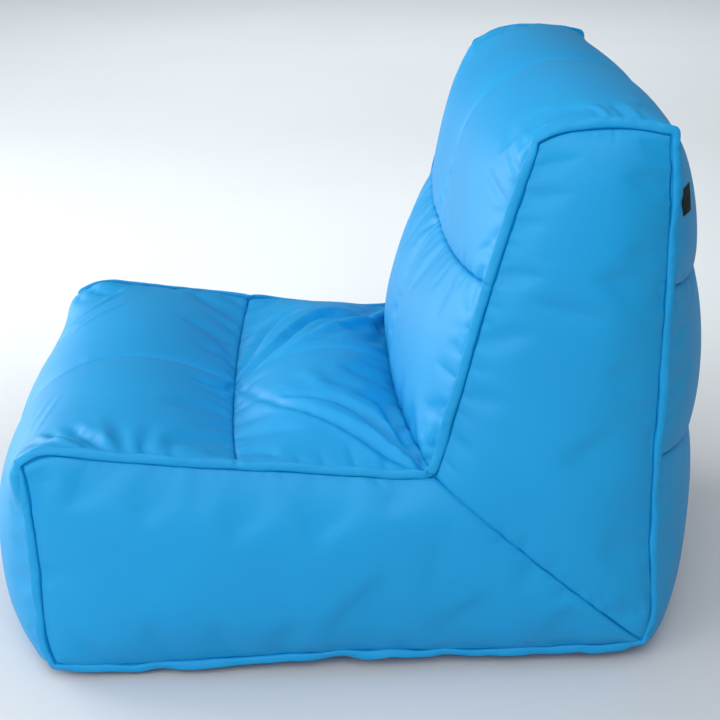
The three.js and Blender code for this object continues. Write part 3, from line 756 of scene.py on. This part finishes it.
AZURE = (0.0006, 0.300, 0.640, 1)
AZURE_DEEP = (0.0005, 0.280, 0.605, 1)
COVER = coated_fabric("cover_fabric", AZURE, AZURE_DEEP, 0.56)
BASE = coated_fabric("base_fabric", (0.003, 0.20, 0.46, 1), (0.002, 0.17, 0.41, 1), 0.6)
LABEL = woven("label_fabric", (0.010, 0.011, 0.014, 1), (0.003, 0.003, 0.004, 1), 0.6 * MM)
TAPE = woven("zip_tape", (0.004, 0.18, 0.42, 1), (0.002, 0.11, 0.28, 1), 0.8 * MM)
LINER = woven("liner_fabric", (0.80, 0.81, 0.82, 1), (0.60, 0.61, 0.62, 1), 0.9 * MM)
COIL = coil_plastic("zip_coil", (0.004, 0.16, 0.38, 1), (0.003, 0.11, 0.28, 1))
METAL = cast_metal("zip_metal", (0.75, 0.76, 0.78, 1), (0.6, 0.61, 0.63, 1))
BEADS = bead_foam("beads")


# ---- Cover panels ----
def sharpen(piece, loops):
    """Marks the edges between neighbours in closed loops of point numbers as sharp."""
    wanted = {tuple(sorted((int(a), int(b)))) for loop in loops for a, b in zip(loop, np.roll(loop, -1))}
    for edge in piece.data.edges:
        edge.use_edge_sharp = tuple(sorted(edge.vertices)) in wanted


def closed_sheet(name, outer, inner, sign, material):
    """A piece with one grid outside, another inside and a wall between, and the outer edge's points."""
    rows, columns = outer.shape[:2]
    count = rows * columns
    faces = quads(rows, columns)
    number = np.arange(count).reshape(rows, columns)
    loop = np.concatenate([number[0], number[1:, -1], number[-1, -2::-1], number[-2:0:-1, 0]])
    step = np.roll(loop, -1)
    wall = np.stack([loop, step, step + count, loop + count], axis=1)
    if sign < 0:
        faces, wall = faces[:, ::-1], wall[:, ::-1]
    points = np.concatenate([outer.reshape(-1, 3), inner.reshape(-1, 3)])
    piece = mesh_object(name, points, np.concatenate([faces, faces[:, ::-1] + count, wall]), material)
    return piece, loop


def thick_panel(name, grid, sign, material):
    """A panel of cloth as thick as the cover, with its outside on a grid."""
    inner = grid - grid_normals(grid) * sign * COVER_THICK
    piece, loop = closed_sheet(name, grid, inner, sign, material)
    sharpen(piece, [loop, loop + grid.size // 3])
    return piece


for (name, hand), grid in final_grids.items():
    material = BASE if name == "base_panel" else COVER
    panel = thick_panel(f"{name}_{hand}_cloth", grid, outward(name, SIDES[hand]), material)
    stand_in(panel, f"{name}_{hand}")


# ---- Flanges round the sides ----
RIM_PANELS = list(STRIP_PANELS)
FLANGE_FOOT = 4 * MM
FLANGE_HALF = 2.4 * MM
FLANGE_LEAN = math.radians(16)
UNLIMITED = 9.0
FLANGE_SWAY = math.radians(8)
FLANGE_KINK = math.radians(13)
BASE_LEAN = math.radians(38)
BASE_SWAY = math.radians(14)
CROOK_LEAN = math.radians(25)
FLANGE_OUT = 1.8 * MM
FLANGE_DRIFT = 1.3 * MM
FLANGE_RIPPLE = 0.9 * MM
FLANGE_WAVE = 1.2 * MM
FLANGE_GATHER = 3.4 * MM
FLANGE_CLEAR = 1.5 * MM
FLANGE_POINTS = 1500
# The flange's section: how far up, and how far out of its middle towards the side and towards the strip.
FLANGE_SECTION = [
    (-2, 0.2, 0.6), (-0.8, 0.4, 0.9), (-0.2, 1.6, 1.2), (0.3, 3.0, 1.2), (1.2, 4.2, 1.3), (2.8, 4.9, 1.4),
    (4.6, 4.9, 1.5), (6.4, 4.4, 1.6), (8.0, 3.6, 1.7), (9.4, 2.7, 1.7), (10.6, 1.7, 1.4), (11.3, 0.9, 0.9),
    (11.6, 0.2, 0.3),
]
FLANGE_TOP = FLANGE_SECTION[-1][0]


def smoothed(values, reach):
    """A closed list's running mean over reach neighbours each way."""
    window = np.hanning(2 * reach + 3)[1:-1]
    window /= window.sum()
    padded = np.concatenate([values[-reach:], values, values[:reach]])
    return np.stack([np.convolve(padded[:, k], window, "valid") for k in range(values.shape[1])], axis=1)


def closed_noise(count, bumps, seed):
    """Smooth noise from -1 to 1 round a closed loop, with about that many bumps."""
    lattice = np.random.default_rng(seed).uniform(-1, 1, bumps)
    at = np.arange(count) * bumps / count
    i = np.floor(at).astype(int)
    f = at - i
    f = f * f * (3 - 2 * f)
    return lattice[i % bumps] * (1 - f) + lattice[(i + 1) % bumps] * f


def rim_and_lean(hand):
    """Points round the rim, each one's way out and the most that a flange can lean there, and the length."""
    rim = np.concatenate([final_grids[name, hand][:-1, -1] for name in RIM_PANELS])
    leans = []
    tangent = np.roll(rim, -1, axis=0) - np.roll(rim, 1, axis=0)
    out = np.stack([0 * tangent[:, 1], -tangent[:, 2], tangent[:, 1]], axis=1)
    out = unit(smoothed(unit(out), 6))
    start = 0
    for name in RIM_PANELS:
        grid = final_grids[name, hand][:-1]
        away = grid - grid[:, -1:]
        inwards = np.abs(away[..., 0])
        height = np.einsum("ijk,ik->ij", away, out[start:start + len(grid)])
        distance = np.hypot(inwards, height)
        near = (distance > FLANGE_FOOT) & (distance < FLANGE_HEIGHT)
        half = np.arcsin(FLANGE_HALF / np.maximum(distance, FLANGE_FOOT))
        leans.append(np.where(near, np.arctan2(inwards, height) - half, UNLIMITED).min(axis=1))
        start += len(grid)
    lean = np.clip(smoothed(np.concatenate(leans)[:, None], 3)[:, 0], 0, FLANGE_LEAN)
    table = np.column_stack([rim, out, lean])
    table = np.vstack([table, table[:1]])
    along = distance_along(table[:, :3])
    at = np.linspace(0, along[-1], FLANGE_POINTS + 1)[:-1]
    table = np.stack([np.interp(at, along, table[:, k]) for k in range(table.shape[1])], axis=1)
    return table[:, :3], table[:, 3:6], table[:, 6], along[-1]


def flange(hand, side):
    """The rolled flange of the seam round one side, puckered and leaning a little over the strip.

    Under the base it leans outwards instead. It gathers where it turns: at the outer corners, and in the
    crook between the seat and the back."""
    rim, out, lean, length = rim_and_lean(hand)
    count = len(rim)
    seed = 50 + side

    def noise(bumps, number):
        return closed_noise(count, bumps, seed + number)

    at = np.arange(count) * length / count
    before, after = np.roll(out, 6, axis=0), np.roll(out, -6, axis=0)
    turn = smoothed((before[:, 1] * after[:, 2] - before[:, 2] * after[:, 1])[:, None], 10)[:, 0]
    turn *= np.sign(turn.sum())
    corner, crook = np.clip(turn * 3, 0, 1), np.clip(-turn * 3, 0, 1)
    upward, downward = np.clip(out[:, 2], 0, 1), np.clip(-out[:, 2], 0, 1)
    below = downward**2
    lean = lean - FLANGE_SWAY * (1 + noise(60, 0)) / 2
    lean += FLANGE_KINK * noise(120, 5) * np.clip(noise(14, 6), 0, 1)
    lean -= BASE_LEAN * below + CROOK_LEAN * crook
    lean += BASE_SWAY * downward * noise(53, 13)
    inward = np.array([-side, 0, 0])
    up = np.cos(lean)[:, None] * out + np.sin(lean)[:, None] * inward
    face = np.cos(lean)[:, None] * -inward + np.sin(lean)[:, None] * out
    height = 1.1 + 0.08 * noise(150, 2) + 0.12 * noise(23, 8)
    height += 0.15 * upward + 0.15 * crook - 0.2 * corner + 0.2 * below * noise(47, 11)
    foot = rim + (smoothed(rim, 12) - rim) * crook[:, None] + [side * FLANGE_OUT, 0, 0]
    drift = FLANGE_DRIFT * noise(84, 12) * (1 - crook) * (1 + below + corner)
    foot = foot + out * drift[:, None]
    ripple = FLANGE_RIPPLE * noise(260, 1) + FLANGE_WAVE * noise(90, 4)
    ripple += FLANGE_GATHER * (corner + crook) * noise(170, 9)
    busy = 0.3 + 0.7 * np.clip(2 * noise(16, 7), 0, 1) + corner + crook
    busy *= np.minimum(1, np.minimum(at, length - at) / (30 * MM))
    profile = [(w, h) for h, w, _ in FLANGE_SECTION[::-1]] + [(-w, h) for h, _, w in FLANGE_SECTION]
    rings = []
    for w, h in profile:
        share = np.clip(h / FLANGE_TOP, 0, 1)
        twist = smooth_noise((at + share * 13 * MM) / (8 * MM), at * 0 + 7, seed + 3)
        sideways = w * MM * (1 + 0.25 * busy * twist * share) + ripple * share**1.5
        rings.append(foot + up * (height * h * MM)[:, None] + face * sideways[:, None])
    points = np.stack(rings, axis=1)
    points[..., 2] = np.maximum(points[..., 2], FLANGE_CLEAR)
    columns = len(profile)
    number = np.arange(count * columns).reshape(count, columns)
    following = np.roll(number, -1, axis=0)
    beside = np.roll(number, -1, axis=1)
    both = np.roll(following, -1, axis=1)
    faces = np.stack([number, following, both, beside], axis=-1).reshape(-1, 4)
    if side < 0:
        faces = faces[:, ::-1]
    piece = mesh_object(f"flange_{hand}_cloth", points, faces, COVER)
    stand_in(piece, f"welt_{hand}")


for hand, side in SIDES.items():
    flange(hand, side)


# ---- Liners and their beads ----
LINER_DEPTH = 5.5 * MM
LINER_THICK = 1.6 * MM
FILL_GAP = 1.4 * MM
FOLD_ROOM = 3.0 * MM
MITRE_GAP = 1.5 * MM
ZIP_ROOM = 13.5 * MM


def lowest_lifts():
    """How far each panel's finished surface lies under the CAD's, on the coarse grid, where it does."""
    depths = {}
    for (name, hand), grid in cad_grids.items():
        fine = refine(grid)
        normals = grid_normals(fine) * outward(name, SIDES[hand])
        lift = np.minimum(np.einsum("ijk,ijk->ij", final_grids[name, hand] - fine, normals), 0)
        rows, columns = (kept_lines(grid, axis) / REFINE for axis in (0, 1))
        depth = np.zeros(grid.shape[:2])
        for i in range(grid.shape[0]):
            band = lift[np.abs(rows - i) <= 1.5].min(axis=0)
            for j in range(grid.shape[1]):
                depth[i, j] = band[np.abs(columns - j) <= 1.5].min()
        depths[name, hand] = depth
    return depths


def inner_skin(depth, depths):
    """The welded CAD skin, moved inwards by a depth, and by more under the cover's folds."""
    points, faces, places = weld(cad_grids)
    extra = np.zeros(len(points))
    for key, place in places.items():
        if key[0] != "base_panel":
            np.minimum.at(extra, place.ravel(), depths[key].ravel())
    room = np.where(extra < -1 * MM, FOLD_ROOM - extra, 0) + depth
    corners = points[faces]
    face_normals = np.cross(corners[:, 2] - corners[:, 0], corners[:, 3] - corners[:, 1])
    normals = np.zeros_like(points)
    for k in range(4):
        np.add.at(normals, faces[:, k], face_normals)
    moved = points - unit(normals) * room[:, None]
    over_zip = ZIP_ROOM + depth - LINER_DEPTH
    foot = RECESS_HALF + 4 * MM + depth
    ramp = np.clip((foot - np.abs(moved[:, 0])) / (foot - 20 * MM), 0, 1)
    below = moved[:, 2] < 60 * MM
    moved[below, 2] = np.maximum(moved[below, 2], (over_zip * ramp)[below])
    return moved, faces


def half_bag(skin, part, gap):
    """The part of a skin on one side of the mitre plane, closed along it, as points and faces."""
    work = bmesh.new()
    vertices = [work.verts.new(p) for p in skin[0]]
    for face in skin[1]:
        work.faces.new([vertices[i] for i in face])
    sign = -1 if part == "seat" else 1
    run, rise = REAR_CORNER - CROOK
    normal = Vector((0, -rise, run)).normalized() * (1 if run > 0 else -1)
    place = Vector((0, *CROOK)) + normal * sign * gap
    cut = bmesh.ops.bisect_plane(work, geom=[*work.verts, *work.edges, *work.faces], plane_co=place,
                                 plane_no=normal * sign, clear_inner=True)
    rim = [edge for edge in work.edges if edge.is_boundary]
    bmesh.ops.triangle_fill(work, edges=rim, use_beauty=True)
    bmesh.ops.recalc_face_normals(work, faces=work.faces)
    work.verts.index_update()
    points = np.array([v.co for v in work.verts])
    faces = [[v.index for v in f.verts] for f in work.faces]
    work.free()
    return points, faces


def joined(outer, inner):
    """Two closed skins, the second facing inwards, as one mesh."""
    count = len(outer[0])
    return np.concatenate([outer[0], inner[0]]), outer[1] + [[i + count for i in f[::-1]] for f in inner[1]]


SLOT_DEPTH = 15 * MM
TAPE_ROOM = 12 * MM


def carve_zip_slot(piece, part, grow):
    """Cuts a slot round a liner's zip through a piece."""
    coils = [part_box(f"{part}_liner_zip_coil_{hand}") for hand in SIDES]
    low = np.min([corner for corner, _ in coils], axis=0)
    high = np.max([corner for _, corner in coils], axis=0)
    middle, half = (low + high) / 2, (high - low) / 2
    along = int(np.argmax(half))
    through = 2 if part == "seat" else 1
    half[:] = SLOT_HALF + grow
    half[along] = (high[along] - low[along]) / 2 + 5 * MM + grow
    half[through] = SLOT_DEPTH
    corners = [middle + half * [x, y, z] for x in (-1, 1) for y in (-1, 1) for z in (-1, 1)]
    sides = [(0, 1, 3, 2), (4, 6, 7, 5), (0, 4, 5, 1), (2, 3, 7, 6), (0, 2, 6, 4), (1, 5, 7, 3)]
    cutter = mesh_object("slot_cutter", corners, sides, LINER)
    cut = piece.modifiers.new("slot", "BOOLEAN")
    cut.operation = "DIFFERENCE"
    cut.solver = "EXACT"
    cut.object = cutter
    bpy.context.view_layer.update()
    carved = bpy.data.meshes.new_from_object(piece.evaluated_get(bpy.context.evaluated_depsgraph_get()))
    piece.modifiers.clear()
    piece.data = carved
    bpy.data.objects.remove(cutter, do_unlink=True)


fold_depths = lowest_lifts()
OUTER_SKIN, INNER_SKIN, FILL_SKIN = [
    inner_skin(depth, fold_depths)
    for depth in (LINER_DEPTH, LINER_DEPTH + LINER_THICK, LINER_DEPTH + LINER_THICK + FILL_GAP)
]
for part in ("seat", "back"):
    outer = half_bag(OUTER_SKIN, part, MITRE_GAP)
    inner = half_bag(INNER_SKIN, part, MITRE_GAP + LINER_THICK)
    lining = mesh_object(f"{part}_liner_cloth", *joined(outer, inner), LINER)
    carve_zip_slot(lining, part, 0)
    stand_in(lining, f"{part}_liner")
    fill = half_bag(FILL_SKIN, part, MITRE_GAP + LINER_THICK + FILL_GAP)
    beads = mesh_object(f"{part}_beads", *fill, BEADS)
    carve_zip_slot(beads, part, TAPE_ROOM)
    stand_in(beads, f"{part}_bead_fill")


# ---- Label ----
LABEL_LIFT = 0.6 * MM
LABEL_THICK = 0.8 * MM


def label():
    """A folded woven tag that follows the rear panel beside the left flange."""
    low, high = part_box("woven_label")
    panel = bpy.data.objects["back_upper_panel_left_cloth"]
    tree = BVHTree.FromObject(panel, bpy.context.evaluated_depsgraph_get())
    rows, columns = 24, 20
    outer = np.zeros((rows + 1, columns + 1, 3))
    normals = np.zeros_like(outer)
    for i, z in enumerate(np.linspace(low[2] + 1 * MM, high[2] - 1 * MM, rows + 1)):
        for j, x in enumerate(np.linspace(low[0], high[0], columns + 1)):
            place, normal, _, _ = tree.ray_cast(Vector((x, 2, z)), Vector((0, -1, 0)))
            outer[i, j] = place
            normals[i, j] = normal
    normals = sum(np.roll(normals, (a, b), (0, 1)) for a in (-1, 0, 1) for b in (-1, 0, 1))
    normals = normals[rows // 2, columns // 2] / np.linalg.norm(normals[rows // 2, columns // 2])
    outer += normals * (LABEL_LIFT + LABEL_THICK)
    inner = outer - normals * LABEL_THICK
    piece, _ = closed_sheet("label_cloth", outer, inner, 1, LABEL)
    face_outwards(piece)
    stand_in(piece, "woven_label")


label()


# ---- Zip coils ----
COIL_PITCH = 1.6 * MM
COIL_STEPS = 4
COIL_SIDES = 12
COIL_GROOVE = 0.24
COIL_REACH = 1.2


def coil(node):
    """A zip's coil: a rounded bar with a ridge for every turn, along the longest side of its CAD box."""
    low, high = (np.array(corner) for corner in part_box(node))
    size = high - low
    thin, wide, long = np.eye(3)[np.argsort(size)]
    turns = int(size.max() / COIL_PITCH)
    at = np.linspace(-0.5, 0.5, turns * COIL_STEPS + 1)[:, None, None]
    angle = np.linspace(0, 2 * np.pi, COIL_SIDES, endpoint=False)[:, None]
    section = (COIL_REACH * size @ wide * np.cos(angle) * wide + size @ thin * np.sin(angle) * thin) / 2
    ridge = 1 - COIL_GROOVE * (0.5 + 0.5 * np.cos(2 * np.pi * turns * at))
    points = (low + high) / 2 + size @ long * at * long + ridge * section
    number = np.arange(points.size // 3).reshape(-1, COIL_SIDES)
    beside = np.roll(number, -1, axis=1)
    walls = np.stack([number[:-1], beside[:-1], beside[1:], number[1:]], axis=-1).reshape(-1, 4)
    faces = [*walls.tolist(), number[0].tolist(), number[-1].tolist()]
    piece = mesh_object(f"{node}_turns", points.reshape(-1, 3), faces, COIL)
    face_outwards(piece)
    stand_in(piece, node)


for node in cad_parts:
    if "_coil_" in node:
        coil(node)


# ---- CAD pieces that stay, with their materials ----
CAD_MATERIALS = {"tape": TAPE, "slider": METAL, "pull": METAL, "stop": METAL}
for node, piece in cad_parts.items():
    if piece.hide_render:
        continue
    key = node.split("_zip_")[-1]
    for word, material in CAD_MATERIALS.items():
        if word in key:
            piece.data.materials.clear()
            piece.data.materials.append(material)


# ---- Stage, light and camera ----
def floor_material():
    n = Nodes("floor")
    n.set(Base_Color=n.blend(n.noise(1.5), (0.68, 0.705, 0.72, 1), (0.63, 0.655, 0.67, 1)))
    n.set(Roughness=n.span(n.noise(20.0), 0.4, 0.55))
    n.bump(n.noise(30.0), 0.05, 0.5 * MM)
    return n.material


FLOOR = 30
corners = [(-FLOOR, -FLOOR, 0), (FLOOR, -FLOOR, 0), (FLOOR, FLOOR, 0), (-FLOOR, FLOOR, 0)]
floor = mesh_object("floor", corners, [(0, 1, 2, 3)], floor_material())


def area_light(name, position, target, size, power, color=(1, 1, 1)):
    data = bpy.data.lights.new(name, "AREA")
    data.shape = "RECTANGLE"
    data.size, data.size_y = size
    data.energy = power
    data.color = color
    light = scene_object(name, data)
    light.location = position
    light.rotation_euler = (Vector(target) - Vector(position)).to_track_quat("-Z", "Y").to_euler()


area_light("window", (-1.8, -3.2, 1.2), (0, 0, 0.4), (2.4, 1.8), 112)
area_light("window_side", (2.6, -2.6, 1.6), (0, 0, 0.4), (2.4, 2.0), 58)
area_light("ceiling", (0.3, -0.4, 3.4), (0, 0, 0.2), (3.0, 3.0), 30)
area_light("side_high", (3.2, 0.3, 2.9), (0, 0, 0.3), (2.6, 2.0), 60)
area_light("beyond", (-1.6, 0, 2.4), (-5.0, 0, 0.4), (3.0, 3.0), 72, (0.9, 0.96, 1.0))
area_light("far", (-4.6, -0.3, 2.9), (-7.6, -0.3, 0), (6.0, 2.4), 120, (0.9, 0.96, 1.0))

ROOM = 0.22
ROOM_SLOPE = (0, 0, 0.2)


def studio_world():
    """An even pale room, brighter above than below."""
    world = bpy.data.worlds.new("studio")
    world.use_nodes = True
    nodes, links = world.node_tree.nodes, world.node_tree.links
    place = nodes.new("ShaderNodeTexCoord")
    slope = nodes.new("ShaderNodeVectorMath")
    slope.operation = "DOT_PRODUCT"
    slope.inputs[1].default_value = ROOM_SLOPE
    total = nodes.new("ShaderNodeMath")
    total.inputs[1].default_value = ROOM
    links.new(place.outputs["Generated"], slope.inputs[0])
    links.new(slope.outputs["Value"], total.inputs[0])
    links.new(total.outputs[0], nodes["Background"].inputs["Strength"])
    nodes["Background"].inputs["Color"].default_value = (0.96, 0.98, 1.0, 1)
    bpy.context.scene.world = world


studio_world()
bpy.context.scene.view_settings.view_transform = "Standard"

CAMERA_PLACE = Vector((2.402, Y_SHIFT, 1.285))
CAMERA_PITCH, CAMERA_YAW, CAMERA_ROLL = (math.radians(v) for v in (21.3, -2.3, -0.5))


def camera():
    """An 80 mm lens on 36 mm film, square, from the sitter's left and above."""
    level = math.cos(CAMERA_PITCH)
    forward = Vector((-level * math.cos(CAMERA_YAW), -level * math.sin(CAMERA_YAW), -math.sin(CAMERA_PITCH)))
    right = forward.cross(Vector((0, 0, 1))).normalized()
    up = right.cross(forward)
    turned = right * math.cos(CAMERA_ROLL) + up * math.sin(CAMERA_ROLL)
    upward = up * math.cos(CAMERA_ROLL) - right * math.sin(CAMERA_ROLL)
    data = bpy.data.cameras.new("camera")
    data.lens = 80
    data.sensor_width = 36
    view = scene_object("camera", data)
    axes = Matrix((turned, upward, -forward)).transposed()
    view.matrix_world = Matrix.Translation(CAMERA_PLACE) @ axes.to_4x4()
    bpy.context.scene.camera = view


camera()
